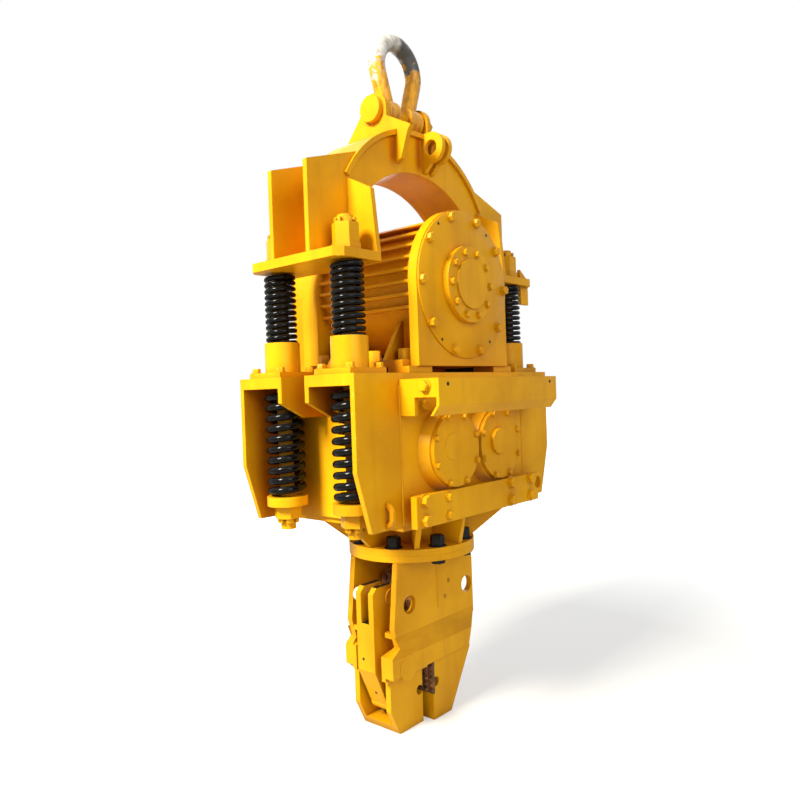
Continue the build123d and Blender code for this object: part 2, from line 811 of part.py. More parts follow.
# Motor base: foot rails with gussets, raised off the case on packing blocks and one cross member
with BuildPart() as base:
    for side in (-1, 1):
        middle = side * (foot_inner_x + foot_outer_x) / 2
        length = motor_front + motor_rear - 2 * motor_plate_t
        along = (motor_rear - motor_front) / 2
        with BuildSketch(Plane.XY.offset(motor_base_z)):
            with Locations((middle, along)):
                Rectangle(foot_outer_x - foot_inner_x, length)
        extrude(amount=foot_t)
        for share in (-foot_gusset_share, foot_gusset_share):
            with BuildSketch(Plane.XZ.offset(-along - share * length - foot_gusset_t / 2)):
                with BuildLine():
                    Polyline(
                        (side * (foot_outer_x - foot_gusset_tip), motor_base_z + foot_t),
                        (side * (foot_inner_x + foot_gusset_in), motor_base_z + foot_t),
                        (side * (foot_inner_x + foot_gusset_in), foot_gusset_high),
                        (side * (foot_inner_x + foot_gusset_in + foot_gusset_tip), foot_gusset_high),
                        close=True)
                make_face()
            extrude(amount=foot_gusset_t)
        with BuildSketch(Plane.XY.offset(case_high)):
            with Locations((middle, -motor_front + packing_inset), (middle, motor_rear - packing_inset)):
                Rectangle(foot_outer_x - foot_inner_x, packing_y)
        extrude(amount=motor_base_z - case_high)
    with BuildSketch(Plane.XY.offset(case_high)):
        Rectangle(2 * foot_outer_x, packing_y)
    extrude(amount=motor_base_z - case_high)
save(base, "motor_base")

# Belt guard behind the motor, over the pulleys of motor and shaft
with BuildPart() as belt_guard:
    with BuildSketch(Plane.XZ.offset(-case_half_y)):
        with BuildLine():
            top = CenterArc((0, motor_z), motor_r, 0, 180)
            low = CenterArc((0, shaft_z), belt_guard_low_r, 180, 180)
            Line(top @ 1, low @ 0)
            Line(low @ 1, top @ 0)
        make_face()
    extrude(amount=-(belt_guard_back - case_half_y))
    with BuildSketch(Plane.XZ.offset(-motor_rear)):
        with Locations((0, motor_z)):
            Circle(motor_r)
        with Locations((0, (motor_base_z + motor_z) / 2)):
            Rectangle(2 * motor_r, motor_z - motor_base_z)
    extrude(amount=-(case_half_y - motor_rear))
save(belt_guard, "belt_guard")

# Yoke seats: plates over the springs with the leg's flange plates standing on them
for side, outer_x, name in ((-1, yoke_half_x, "yoke_seat_left"), (1, tab_x, "yoke_seat_right")):
    with BuildPart() as seat:
        with BuildSketch(Plane.XY.offset(seat_low)):
            with Locations((side * (outer_x + yoke_leg_x) / 2, 0)):
                Rectangle(outer_x - yoke_leg_x, 2 * seat_half_y)
        extrude(amount=seat_t)
        chamfer(seat.edges().filter_by(Axis.Z).group_by(Axis.X)[0 if side < 0 else -1], seat_corner)
        with BuildSketch(Plane.XY.offset(seat_low)):
            with Locations((side * column_x, -column_y), (side * column_x, column_y)):
                Circle(rod_r_column + seat_gap)
        extrude(amount=seat_t, mode=Mode.SUBTRACT)
        for end in (-1, 1):
            with BuildSketch(Plane.YZ.offset(side * yoke_leg_x)):
                with BuildLine():
                    Polyline(
                        (end * web_out, seat_high), (end * web_out, flange_plate_high),
                        (end * flange_plate_nose_y, flange_plate_nose_z), (end * seat_half_y, seat_high),
                        close=True)
                make_face()
            extrude(amount=side * flange_plate_t)
        if side > 0:
            with BuildSketch(Plane.XZ.offset(seat_half_y - seat_corner - tab_t)):
                with BuildLine():
                    Polyline(
                        (tab_root_x, tab_low), (tab_x, tab_low), (tab_x, seat_high), (tab_root_x, tab_high),
                        close=True)
                make_face()
            extrude(amount=tab_t)
    save(seat, name)

# Yoke webs: two parallel plates, wings on the legs and an arch over the motor
rim_angle = math.degrees(math.asin((rim_foot_z - crown_z) / (crown_r + rim_t)))
for side, name in ((-1, "yoke_web_front"), (1, "yoke_web_back")):
    with BuildPart() as web:
        with BuildSketch(Plane.XZ.offset(-side * web_in)):
            with BuildLine():
                Polyline(
                    (-yoke_leg_x, seat_high), (-yoke_half_x, seat_high), (-yoke_half_x, wing_high),
                    (-wing_join_x, wing_high + wing_slope * (yoke_half_x - wing_join_x)),
                    (wing_join_x, wing_high + wing_slope * (yoke_half_x - wing_join_x)),
                    (yoke_half_x, wing_high), (yoke_half_x, seat_high), (yoke_leg_x, seat_high), close=True)
            make_face()
            with Locations((0, crown_z)):
                Circle(crown_r)
            with Locations((0, soffit_z)):
                Circle(soffit_r, mode=Mode.SUBTRACT)
            with Locations((0, seat_high)):
                Rectangle(2 * yoke_leg_x, 2 * (soffit_spring - seat_high), mode=Mode.SUBTRACT)
            with Locations((0, seat_high - crown_r / 2)):
                Rectangle(2 * crown_r, crown_r, mode=Mode.SUBTRACT)
        extrude(amount=-side * web_t)
        with BuildSketch(Plane.XZ.offset(-side * web_in)):
            with BuildLine():
                outside = CenterArc((0, crown_z), crown_r + rim_t + seat_gap, rim_angle, 180 - 2 * rim_angle)
                inside = CenterArc((0, crown_z), crown_r, rim_angle, 180 - 2 * rim_angle)
                Line(outside @ 0, inside @ 0)
                Line(outside @ 1, inside @ 1)
            make_face()
        extrude(amount=-side * web_t, mode=Mode.SUBTRACT)
    save(web, name)

# Yoke rim: the bent plate round the arch's outside
with BuildPart() as rim:
    with BuildSketch(Plane.XZ.offset(-rim_half_y)):
        with BuildLine():
            outside = CenterArc((0, crown_z), crown_r + rim_t, rim_angle, 180 - 2 * rim_angle)
            inside = CenterArc((0, crown_z), crown_r + seat_gap, rim_angle, 180 - 2 * rim_angle)
            Line(outside @ 0, inside @ 0)
            Line(outside @ 1, inside @ 1)
        make_face()
    extrude(amount=2 * rim_half_y)
save(rim, "yoke_rim")

# Yoke soffit: the bent plate between the webs, round the opening over the motor
soffit_angle = math.degrees(math.asin((soffit_spring - soffit_z) / soffit_r))
outer_spring = soffit_z + math.sqrt((soffit_r + soffit_t)**2 - (yoke_leg_x + soffit_t)**2)
outer_angle = math.degrees(math.asin((outer_spring - soffit_z) / (soffit_r + soffit_t)))
with BuildPart() as soffit:
    with BuildSketch(Plane.XZ.offset(-web_in)):
        with BuildLine():
            under = CenterArc((0, soffit_z), soffit_r, soffit_angle, 180 - 2 * soffit_angle)
            over = CenterArc((0, soffit_z), soffit_r + soffit_t, outer_angle, 180 - 2 * outer_angle)
            Polyline(under @ 0, (yoke_leg_x, seat_high), (yoke_leg_x + soffit_t, seat_high), over @ 0)
            Polyline(under @ 1, (-yoke_leg_x, seat_high), (-yoke_leg_x - soffit_t, seat_high), over @ 1)
        make_face()
    extrude(amount=2 * web_in)
save(soffit, "yoke_soffit")

# Lifting lugs astride the crown: the left one has a pointed leg in front, the right one is cut short there
web_face = web_out + seat_gap
for low_x, name in ((-lug_in - lug_t, "lug_left"), (lug_in, "lug_right")):
    base_z = crown_z + math.sqrt((crown_r + rim_t / 2) ** 2 - (lug_in + lug_t) ** 2)
    with BuildPart() as lug:
        with BuildSketch(Plane.YZ.offset(low_x)):
            with Locations((0, pin_z)):
                Circle(lug_r)
            with BuildLine():
                Polyline(
                    (-lug_r, pin_z), (-lug_r, lug_step_z), (-lug_short_y, base_z), (lug_back_y, base_z),
                    (lug_back_y, lug_back_z), (lug_r, pin_z), close=True)
            make_face()
            with BuildLine():
                Polyline(
                    (web_face, base_z), (lug_back_y, base_z), (web_face + lug_leg_t, lug_leg_low),
                    (web_face, lug_leg_low), close=True)
            make_face()
            if name == "lug_left":
                with BuildLine():
                    Polyline(
                        (-lug_r, lug_step_z), lug_shoulder, lug_elbow, lug_tip,
                        (-web_face, lug_tip[1] - lug_tip_rise), (-web_face, base_z), (-lug_r, base_z),
                        close=True)
                make_face()
            with Locations((0, pin_z)):
                Circle(pin_r + run_gap, mode=Mode.SUBTRACT)
        extrude(amount=lug_t)
        with BuildSketch(Plane.XZ.offset(-rim_half_y - seat_gap)):
            with Locations((0, crown_z)):
                Circle(crown_r + rim_t + seat_gap)
                Circle(crown_r - seat_gap, mode=Mode.SUBTRACT)
        extrude(amount=2 * (rim_half_y + seat_gap), mode=Mode.SUBTRACT)
    save(lug, name)

# Tie plates: a pair of eyes on the front of the crown that take one pin
for low_x, name in ((tie_left_x, "tie_plate_left"), (tie_right_x, "tie_plate_right")):
    base_z = crown_z + math.sqrt((crown_r + rim_t / 2) ** 2 - (low_x + tie_t) ** 2)
    with BuildPart() as tie:
        with BuildSketch(Plane.YZ.offset(low_x)):
            with BuildLine():
                Polyline(
                    (tie_toe_y, base_z), (tie_toe_y, tie_z + tie_r), (tie_y, tie_z + tie_r),
                    (tie_y - tie_r, tie_z), (-web_face - lug_leg_t, tie_low), (-web_face, tie_low),
                    (-web_face, base_z), close=True)
            make_face()
            with Locations((tie_y, tie_z)):
                Circle(tie_r)
            with Locations((-web_face / 2, (tie_low + base_z) / 2)):
                Rectangle(web_face, base_z - tie_low, mode=Mode.SUBTRACT)
            with Locations((tie_y, tie_z)):
                Circle(tie_hole_r, mode=Mode.SUBTRACT)
        extrude(amount=tie_t)
        with BuildSketch(Plane.XZ.offset(-rim_half_y - seat_gap)):
            with Locations((0, crown_z)):
                Circle(crown_r + rim_t + seat_gap)
                Circle(crown_r - seat_gap, mode=Mode.SUBTRACT)
        extrude(amount=2 * (rim_half_y + seat_gap), mode=Mode.SUBTRACT)
    save(tie, name)

# Shackle bow: a round bar bent to a pear shape, with an eye at each end
bow_centre = bow_top - bow_bar_r - bow_r
leg_foot = pin_z + bow_leg_rise
leg_angle = math.atan2(bow_centre - leg_foot, bow_leg_x)
dip = math.degrees(leg_angle - math.acos(bow_r / math.hypot(bow_leg_x, bow_centre - leg_foot)))
with BuildPart() as bow:
    with BuildLine() as bow_path:
        with BuildLine(Plane.XZ):
            arc = CenterArc((0, bow_centre), bow_r, 180 + dip, -180 - 2 * dip)
            Line((-bow_leg_x, leg_foot), arc @ 0)
            Line(arc @ 1, (bow_leg_x, leg_foot))
    bow_line = bow_path.wires()[0]
    with BuildSketch(Plane(bow_line @ 0, z_dir=bow_line % 0)):
        Circle(bow_bar_r)
    sweep(path=bow_line)
    for side in (-1, 1):
        with BuildSketch(Plane.YZ.offset(side * bow_eye_in)):
            with Locations((0, pin_z)):
                Circle(bow_eye_r)
        extrude(amount=side * (bow_eye_out - bow_eye_in))
    with BuildSketch(Plane.YZ.offset(-bow_eye_out)):
        with Locations((0, pin_z)):
            Circle(pin_r + run_gap)
    extrude(amount=2 * bow_eye_out, mode=Mode.SUBTRACT)
save(bow, "shackle_bow")

# Shackle pin with its head on the left and nut on the right
pin_face = lug_in + lug_t + seat_gap
with BuildPart() as pin:
    with BuildSketch(Plane.YZ.offset(-pin_face)):
        with Locations((0, pin_z)):
            Circle(pin_r)
    extrude(amount=2 * pin_face + pin_nut_t + pin_tail)
    with BuildSketch(Plane.YZ.offset(-pin_face)):
        with Locations((0, pin_z)):
            Circle(pin_head_r)
    extrude(amount=-pin_head_t)
    with BuildSketch(Plane.YZ.offset(pin_face)):
        with Locations((0, pin_z)):
            RegularPolygon(pin_nut_r, 6)
    extrude(amount=pin_nut_t)
save(pin, "shackle_pin")
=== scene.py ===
"""Electric vibratory pile hammer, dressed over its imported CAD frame.

Yellow enamelled steel, black coil springs, a rusted clamp and a shackle worn by the crane's hook.
"""
import math

import bpy
import numpy as np
from mathutils import Matrix


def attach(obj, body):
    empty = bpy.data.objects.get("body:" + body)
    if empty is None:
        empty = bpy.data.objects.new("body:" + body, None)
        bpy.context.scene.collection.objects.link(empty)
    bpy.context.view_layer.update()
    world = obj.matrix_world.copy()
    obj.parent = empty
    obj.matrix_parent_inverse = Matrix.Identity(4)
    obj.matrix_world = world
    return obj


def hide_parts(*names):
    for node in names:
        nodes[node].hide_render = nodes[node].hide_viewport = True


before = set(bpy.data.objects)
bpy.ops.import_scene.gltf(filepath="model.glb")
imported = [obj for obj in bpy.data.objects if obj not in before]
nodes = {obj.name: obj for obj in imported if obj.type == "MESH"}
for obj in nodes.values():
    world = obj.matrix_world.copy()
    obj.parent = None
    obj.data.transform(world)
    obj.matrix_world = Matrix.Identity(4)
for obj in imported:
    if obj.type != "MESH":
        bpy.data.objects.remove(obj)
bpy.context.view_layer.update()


# Welded body: plates and castings of mild steel, sprayed with a thick coat of chrome yellow enamel.
# The coat has a faint orange peel, carries dust and thin runs of dirt, and has painted shade in brown
# in its corners, where the space is closed in. Edges are rounded in shading by the thickness of the coat.
def linear(hex_colour):
    """Linear RGBA of an sRGB hex colour: each channel through the sRGB curve."""
    channels = np.array([int(hex_colour[i:i + 2], 16) for i in (1, 3, 5)]) / 255
    low = channels / 12.92
    high = ((channels + 0.055) / 1.055) ** 2.4
    return (*np.where(channels <= 0.04045, low, high), 1.0)


def node(tree, kind, settings):
    """Adds one shader node. A key is one of its attributes, or a socket's name or number.

    For a socket, an output of another node is linked, a hex string is a colour, and the rest is a value.
    """
    made = tree.nodes.new(kind)
    for key, value in settings.items():
        if isinstance(key, str) and hasattr(made, key):
            setattr(made, key, value)
        elif isinstance(value, bpy.types.NodeSocket):
            tree.links.new(value, made.inputs[key])
        else:
            made.inputs[key].default_value = linear(value) if isinstance(value, str) else value
    return made


def fresh(name):
    """A new material with an empty tree, its Principled shader and the place of each point in metres."""
    made = bpy.data.materials.new(name)
    made.use_nodes = True
    tree = made.node_tree
    tree.nodes.clear()
    shader = node(tree, "ShaderNodeBsdfPrincipled", {})
    node(tree, "ShaderNodeOutputMaterial", {"Surface": shader.outputs[0]})
    return made, tree, shader, node(tree, "ShaderNodeTexCoord", {}).outputs["Object"]


def noise(tree, place, size, low, high, detail=4.0, stretch=(1, 1, 1)):
    """Noise with clouds of a size in metres, spread so that the band from low to high becomes 0 to 1."""
    spread = node(tree, "ShaderNodeMapping", {"Scale": stretch, "Vector": place}).outputs[0]
    cloud = node(tree, "ShaderNodeTexNoise", {"Scale": 1 / size, "Detail": detail, "Vector": spread})
    return node(tree, "ShaderNodeMapRange", {"Value": cloud.outputs[0], 1: low, 2: high}).outputs[0]


# A mix takes its share at socket 0 and its colours at 6 and 7. A map range takes the band it reads at 1 and 2
# and the band it gives at 3 and 4.
colours = {"data_type": "RGBA"}
product = {"operation": "MULTIPLY", "use_clamp": True}


def enamel(name, clean="#e5a60b", deep="#d09108", corner="#96590a", roughness=0.33, reach=0.04,
           shade_most=0.5):
    """Sprayed enamel: two tones in broad clouds, runs of dirt, pale scuffs and orange peel 4 mm across.

    A film of painted shade, in the corner's colour, grows to shade_most where the space within reach,
    in metres, is closed in.
    """
    made, tree, shader, place = fresh(name)
    clouds = noise(tree, place, 0.30, 0.35, 0.65)
    tone = node(tree, "ShaderNodeMix", {**colours, 0: clouds, 6: clean, 7: deep}).outputs[2]
    runs = noise(tree, place, 0.05, 0.52, 0.80, 3.0, (1.0, 1.0, 0.09))
    runs = node(tree, "ShaderNodeMath", {**product, 0: runs, 1: 0.30}).outputs[0]
    tone = node(tree, "ShaderNodeMix", {**colours, 0: runs, 6: tone, 7: "#b87606"}).outputs[2]
    scuffs = noise(tree, place, 0.018, 0.66, 0.74, 6.0)
    patches = noise(tree, place, 0.40, 0.50, 0.66, 2.0)
    scuffs = node(tree, "ShaderNodeMath", {**product, 0: scuffs, 1: patches}).outputs[0]
    scuffs = node(tree, "ShaderNodeMath", {**product, 0: scuffs, 1: 0.45}).outputs[0]
    tone = node(tree, "ShaderNodeMix", {**colours, 0: scuffs, 6: tone, 7: "#f6cf58"}).outputs[2]
    # Painted shade: the corner's colour darkens the coat where the space around it is closed in.
    hollow = node(tree, "ShaderNodeAmbientOcclusion", {"samples": 6, "Distance": reach}).outputs["AO"]
    shade_film = node(tree, "ShaderNodeMapRange", {"Value": hollow, 1: 0.30, 2: 0.88, 3: shade_most, 4: 0.0})
    tone = node(tree, "ShaderNodeMix", {**colours, 0: shade_film.outputs[0], 6: tone, 7: corner}).outputs[2]
    peel = noise(tree, place, 0.004, 0.0, 1.0, 1.0)
    ripple = noise(tree, place, 0.09, 0.0, 1.0, 2.0)
    normal = node(tree, "ShaderNodeBevel", {"samples": 4, "Radius": 0.003}).outputs[0]
    for height, strength, depth in ((peel, 0.05, 0.001), (ripple, 0.10, 0.006)):
        normal = node(tree, "ShaderNodeBump", {"Strength": strength, "Distance": depth,
                                               "Height": height, "Normal": normal}).outputs[0]
    dust = node(tree, "ShaderNodeMapRange", {"Value": noise(tree, place, 0.16, 0.3, 0.7),
                                             3: roughness - 0.05, 4: roughness + 0.13}).outputs[0]
    tree.links.new(tone, shader.inputs["Base Color"])
    tree.links.new(dust, shader.inputs["Roughness"])
    tree.links.new(normal, shader.inputs["Normal"])
    shader.inputs["Specular IOR Level"].default_value = 0.15
    return made


def coat(names, material):
    """Gives CAD nodes one material in place of what they came with."""
    for name in names:
        nodes[name].data.materials.clear()
        nodes[name].data.materials.append(material)


yellow = enamel("yellow_enamel")
coat(nodes, yellow)

# Spring brackets: the same enamel, with painted shade in brown deep inside their pockets.
# The painted shade reaches as far as the pocket is deep.
pockets = ("bracket_front_left", "bracket_front_right", "bracket_back_left", "bracket_back_right")
coat(pockets, enamel("bracket_enamel", corner="#9c4606", reach=0.18, shade_most=0.9))

# Vibrator case and motor base: the same enamel, with painted shade in brown on the walls behind the
# springs and in the spaces between the foot rails and the gussets.
coat(("vibrator_case",), enamel("case_enamel", "#eeb014", "#dc9c0c", "#a4500a", reach=0.12, shade_most=0.6))
coat(("motor_base",), enamel("base_enamel", corner="#9c4606", reach=0.12, shade_most=0.8))

# Motor frame: the same enamel in lighter tones as painted light, and with its painted shade kept a light
# orange, so that the spaces between its fins look lit.
coat(("motor_frame",), enamel("motor_enamel", "#efab12", "#e09a10", "#d98f10"))


# Clamp jaws and cylinder: bare steel gone brown. Teeth are hardened and keep a worn shine on their points,
# and the cylinder's gland has flaked red primer over rust.
def rusty(name, base, spots, pale, roughness):
    """Bare rusted steel: brown clouds, pale worn flecks 7 mm across and a rough bump."""
    made, tree, shader, place = fresh(name)
    clouds = noise(tree, place, 0.035, 0.38, 0.62)
    tone = node(tree, "ShaderNodeMix", {**colours, 0: clouds, 6: base, 7: spots}).outputs[2]
    flecks = noise(tree, place, 0.007, 0.60, 0.72)
    flecks = node(tree, "ShaderNodeMath", {**product, 0: flecks, 1: 0.8}).outputs[0]
    tone = node(tree, "ShaderNodeMix", {**colours, 0: flecks, 6: tone, 7: pale}).outputs[2]
    bump = node(tree, "ShaderNodeBump", {"Strength": 0.35, "Distance": 0.0015,
                                         "Height": noise(tree, place, 0.003, 0.2, 0.8)})
    tree.links.new(tone, shader.inputs["Base Color"])
    tree.links.new(bump.outputs[0], shader.inputs["Normal"])
    shader.inputs["Roughness"].default_value = roughness
    shader.inputs["Metallic"].default_value = 0.25
    return made


tooth_rust = rusty("tooth_rust", "#85582f", "#55371f", "#b98f5e", 0.55)
gland_rust = rusty("gland_rust", "#a06a4a", "#6e4029", "#c99a78", 0.62)
coat(("clamp_fixed_teeth", "clamp_moving_jaw"), tooth_rust)
coat(("clamp_cylinder",), gland_rust)

# Cylinder rod: hard chrome, ground round the rod so that fine rings show, with a film of oil.
# Where the oil lies thicker, the shine is a little softer.
chrome, tree, shader, place = fresh("hard_chrome")
rings = noise(tree, place, 0.002, 0.3, 0.7, 2.0, (1.0, 0.05, 0.05))
steel = node(tree, "ShaderNodeMix", {**colours, 0: rings, 6: "#b9babd", 7: "#d5d6d8"})
tree.links.new(steel.outputs[2], shader.inputs["Base Color"])
sheen = node(tree, "ShaderNodeMapRange", {"Value": noise(tree, place, 0.03, 0.3, 0.7), 3: 0.10, 4: 0.24})
tree.links.new(sheen.outputs[0], shader.inputs["Roughness"])
shader.inputs["Metallic"].default_value = 1.0
coat(("clamp_rod",), chrome)


# Lever: the same enamel, with near-black smudges over its top faces.
# The smudges keep to faces that look upwards.
def opened(material):
    """The tree, shader, colour so far and place of an enamel, so that one more film can be laid over it."""
    tree = material.node_tree
    shader = next(n for n in tree.nodes if n.type == "BSDF_PRINCIPLED")
    painted = shader.inputs["Base Color"].links[0].from_socket
    return tree, shader, painted, node(tree, "ShaderNodeTexCoord", {}).outputs["Object"]


lever_coat = enamel("lever_enamel")
tree, shader, painted, place = opened(lever_coat)
facing = node(tree, "ShaderNodeNewGeometry", {}).outputs["Normal"]
facing = node(tree, "ShaderNodeSeparateXYZ", {"Vector": facing}).outputs["Z"]
upward = node(tree, "ShaderNodeMapRange", {"Value": facing, 1: 0.75, 2: 0.95}).outputs[0]
smudges = noise(tree, place, 0.03, 0.22, 0.42)
smear = node(tree, "ShaderNodeMath", {**product, 0: upward, 1: smudges}).outputs[0]
tops_blackened = node(tree, "ShaderNodeMix", {**colours, 0: smear, 6: painted, 7: "#1c1712"})
tree.links.new(tops_blackened.outputs[2], shader.inputs["Base Color"])
coat(("clamp_lever",), lever_coat)

# Clamp cheeks: the same enamel with painted shade in brown on the doubler's slope.
# The slope faces upwards a little, and the painted shade lies in long clouds along it.
cheek_coat = enamel("cheek_enamel")
tree, shader, painted, place = opened(cheek_coat)
facing = node(tree, "ShaderNodeNewGeometry", {}).outputs["True Normal"]
facing = node(tree, "ShaderNodeSeparateXYZ", {"Vector": facing}).outputs["Z"]
sloped = node(tree, "ShaderNodeMapRange", {"Value": facing, 1: 0.05, 2: 0.12}).outputs[0]
streaks = noise(tree, place, 0.05, 0.20, 0.55, 4.0, (0.3, 1, 1))
# Painted shade on the slope, at most 0.4 of the way to brown.
slope_shade = node(tree, "ShaderNodeMath", {**product, 0: sloped, 1: streaks}).outputs[0]
slope_shade = node(tree, "ShaderNodeMath", {**product, 0: slope_shade, 1: 0.4}).outputs[0]
slope_shaded = node(tree, "ShaderNodeMix", {**colours, 0: slope_shade, 6: painted, 7: "#a0660c"})
tree.links.new(slope_shaded.outputs[2], shader.inputs["Base Color"])
coat(("clamp_cheek_front", "clamp_cheek_back"), cheek_coat)

# Front web of the yoke: the same enamel with two soft brown bands of painted shadow and reflection beside
# the lug's leg and the tie plates. Each band lies across the web and fades out at its lower end.
web_coat = enamel("web_enamel")
tree, shader, painted, place = opened(web_coat)
spot = node(tree, "ShaderNodeSeparateXYZ", {"Vector": place})
above = node(tree, "ShaderNodeMapRange", {"Value": spot.outputs["Z"], 1: 2.180, 2: 2.225}).outputs[0]
# Painted shadow and reflection: a brown band beside each of these x positions.
for shade_band_x in (-0.152, 0.004):
    away = node(tree, "ShaderNodeMath", {"operation": "SUBTRACT", 0: spot.outputs["X"], 1: shade_band_x}).outputs[0]
    away = node(tree, "ShaderNodeMath", {"operation": "ABSOLUTE", 0: away}).outputs[0]
    band = node(tree, "ShaderNodeMapRange", {"Value": away, 1: 0.006, 2: 0.032, 3: 0.85, 4: 0.0}).outputs[0]
    ragged = noise(tree, place, 0.05, 0.15, 0.50, 4.0, (1, 1, 0.25))
    band_shade = node(tree, "ShaderNodeMath", {**product, 0: band, 1: ragged}).outputs[0]
    band_shade = node(tree, "ShaderNodeMath", {**product, 0: band_shade, 1: above}).outputs[0]
    painted = node(tree, "ShaderNodeMix", {**colours, 0: band_shade, 6: painted, 7: "#a04a0a"}).outputs[2]
tree.links.new(painted, shader.inputs["Base Color"])
coat(("yoke_web_front",), web_coat)

# Shackle: forged bow dipped in yellow, its crown rubbed to bare steel by the crane's hook.
# The bare part is pale grey, as worn steel with a painted highlight of glare, and has dark smudges over
# its right half; the paint left below it is scratched.
worn, tree, shader, place = fresh("worn_shackle")
spot = node(tree, "ShaderNodeSeparateXYZ", {"Vector": place})
add_share = {"operation": "MULTIPLY_ADD"}
ragged = node(tree, "ShaderNodeMath", {**add_share, 0: noise(tree, place, 0.035, 0.3, 0.7), 1: 0.14,
                                       2: spot.outputs["Z"]}).outputs[0]
clouds = noise(tree, place, 0.06, 0.35, 0.65)
paint = node(tree, "ShaderNodeMix", {**colours, 0: clouds, 6: "#eaa70c", 7: "#d08e08"}).outputs[2]
scratches = noise(tree, place, 0.02, 0.46, 0.62, 5.0, (1, 1, 0.3))
scratches = node(tree, "ShaderNodeMath", {**product, 0: scratches, 1: 0.6}).outputs[0]
paint = node(tree, "ShaderNodeMix", {**colours, 0: scratches, 6: paint, 7: "#8a5c14"}).outputs[2]
clouds = noise(tree, place, 0.03, 0.35, 0.65)
# Pale grey for bare steel, lightened by a painted highlight of glare.
bare_and_glare = node(tree, "ShaderNodeMix", {**colours, 0: clouds, 6: "#d9d6cf", 7: "#9d968b"}).outputs[2]
right = node(tree, "ShaderNodeMapRange", {"Value": spot.outputs["X"], 1: -0.015, 2: 0.015}).outputs[0]
shorter = node(tree, "ShaderNodeMath", {**add_share, 0: right, 1: -0.055, 2: ragged}).outputs[0]
rubbed = node(tree, "ShaderNodeMapRange", {"Value": shorter, 1: 2.655, 2: 2.685}).outputs[0]
smudges = noise(tree, place, 0.05, 0.25, 0.48)
smear = node(tree, "ShaderNodeMath", {**product, 0: right, 1: smudges}).outputs[0]
smear = node(tree, "ShaderNodeMath", {**product, 0: smear, 1: 0.92}).outputs[0]
bare_and_glare = node(tree, "ShaderNodeMix", {**colours, 0: smear, 6: bare_and_glare, 7: "#3f3f3e"}).outputs[2]
surface = node(tree, "ShaderNodeMix", {**colours, 0: rubbed, 6: paint, 7: bare_and_glare})
tree.links.new(surface.outputs[2], shader.inputs["Base Color"])
gloss = node(tree, "ShaderNodeMapRange", {"Value": rubbed, 3: 0.38, 4: 0.5})
tree.links.new(gloss.outputs[0], shader.inputs["Roughness"])
metal = node(tree, "ShaderNodeMath", {**product, 0: rubbed, 1: 0.35})
tree.links.new(metal.outputs[0], shader.inputs["Metallic"])
dents = node(tree, "ShaderNodeBump", {"Strength": 0.3, "Distance": 0.003,
                                      "Height": noise(tree, place, 0.02, 0.2, 0.8)})
tree.links.new(dents.outputs[0], shader.inputs["Normal"])
coat(("shackle_bow",), worn)

# Coil springs: round bar wound hot, ends closed and ground, dipped in black gloss with dust on top.
# Each upper spring sits in its sleeve and under the yoke's seat, each lower one hangs under the bracket.
black_gloss, tree, shader, place = fresh("black_gloss")
facing = node(tree, "ShaderNodeNewGeometry", {}).outputs["Normal"]
facing = node(tree, "ShaderNodeSeparateXYZ", {"Vector": facing}).outputs["Z"]
clouds = noise(tree, place, 0.012, 0.3, 0.7)
tone = node(tree, "ShaderNodeMix", {**colours, 0: clouds, 6: "#040405", 7: "#0d0c0e"}).outputs[2]
dusty = node(tree, "ShaderNodeMapRange", {"Value": facing, 1: 0.3, 2: 1.0, 3: 0.0, 4: 0.14}).outputs[0]
patches = noise(tree, place, 0.03, 0.35, 0.65)
dusty = node(tree, "ShaderNodeMath", {**product, 0: dusty, 1: patches}).outputs[0]
tone = node(tree, "ShaderNodeMix", {**colours, 0: dusty, 6: tone, 7: "#5a5650"}).outputs[2]
tree.links.new(tone, shader.inputs["Base Color"])
shine = node(tree, "ShaderNodeMapRange", {"Value": noise(tree, place, 0.02, 0.3, 0.7), 3: 0.09, 4: 0.18})
tree.links.new(shine.outputs[0], shader.inputs["Roughness"])
shader.inputs["Specular IOR Level"].default_value = 0.16


def box(name):
    """Low and high corner of a CAD node, in metres."""
    points = np.empty(3 * len(nodes[name].data.vertices))
    nodes[name].data.vertices.foreach_get("co", points)
    points = points.reshape(-1, 3)
    return points.min(0), points.max(0)


def mesh_piece(name, shapes, material, body):
    """Joins closed shapes of points and faces into one mesh at the origin that rides on a body."""
    points, faces, start = [], [], 0
    for some_points, some_faces in shapes:
        points.append(some_points)
        faces += [[i + start for i in face] for face in some_faces]
        start += len(some_points)
    mesh = bpy.data.meshes.new(name)
    mesh.from_pydata(np.concatenate(points), [], faces)
    mesh.polygons.foreach_set("use_smooth", np.ones(len(mesh.polygons), bool))
    mesh.set_sharp_from_angle(angle=math.radians(38))
    mesh.materials.append(material)
    made = bpy.data.objects.new(name, mesh)
    bpy.context.scene.collection.objects.link(made)
    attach(made, body)
    return made


def tube(rings):
    """Closed tube through rings of points, an array of rows by sides by 3, with a flat end on each side."""
    rows, sides = rings.shape[:2]
    row, column = np.meshgrid(np.arange(rows - 1), np.arange(sides), indexing="ij")
    beside = (column + 1) % sides
    quads = np.stack([row * sides + column, row * sides + beside,
                      (row + 1) * sides + beside, (row + 1) * sides + column], -1).reshape(-1, 4)
    ends = [list(range(sides - 1, -1, -1)), list(range((rows - 1) * sides, rows * sides))]
    return rings.reshape(-1, 3), quads.tolist() + ends


def across_way(up):
    """A unit vector square to a unit vector."""
    across = np.cross((0, 0, 1) if abs(up[2]) < 0.9 else (0, 1, 0), up)
    return across / np.linalg.norm(across)


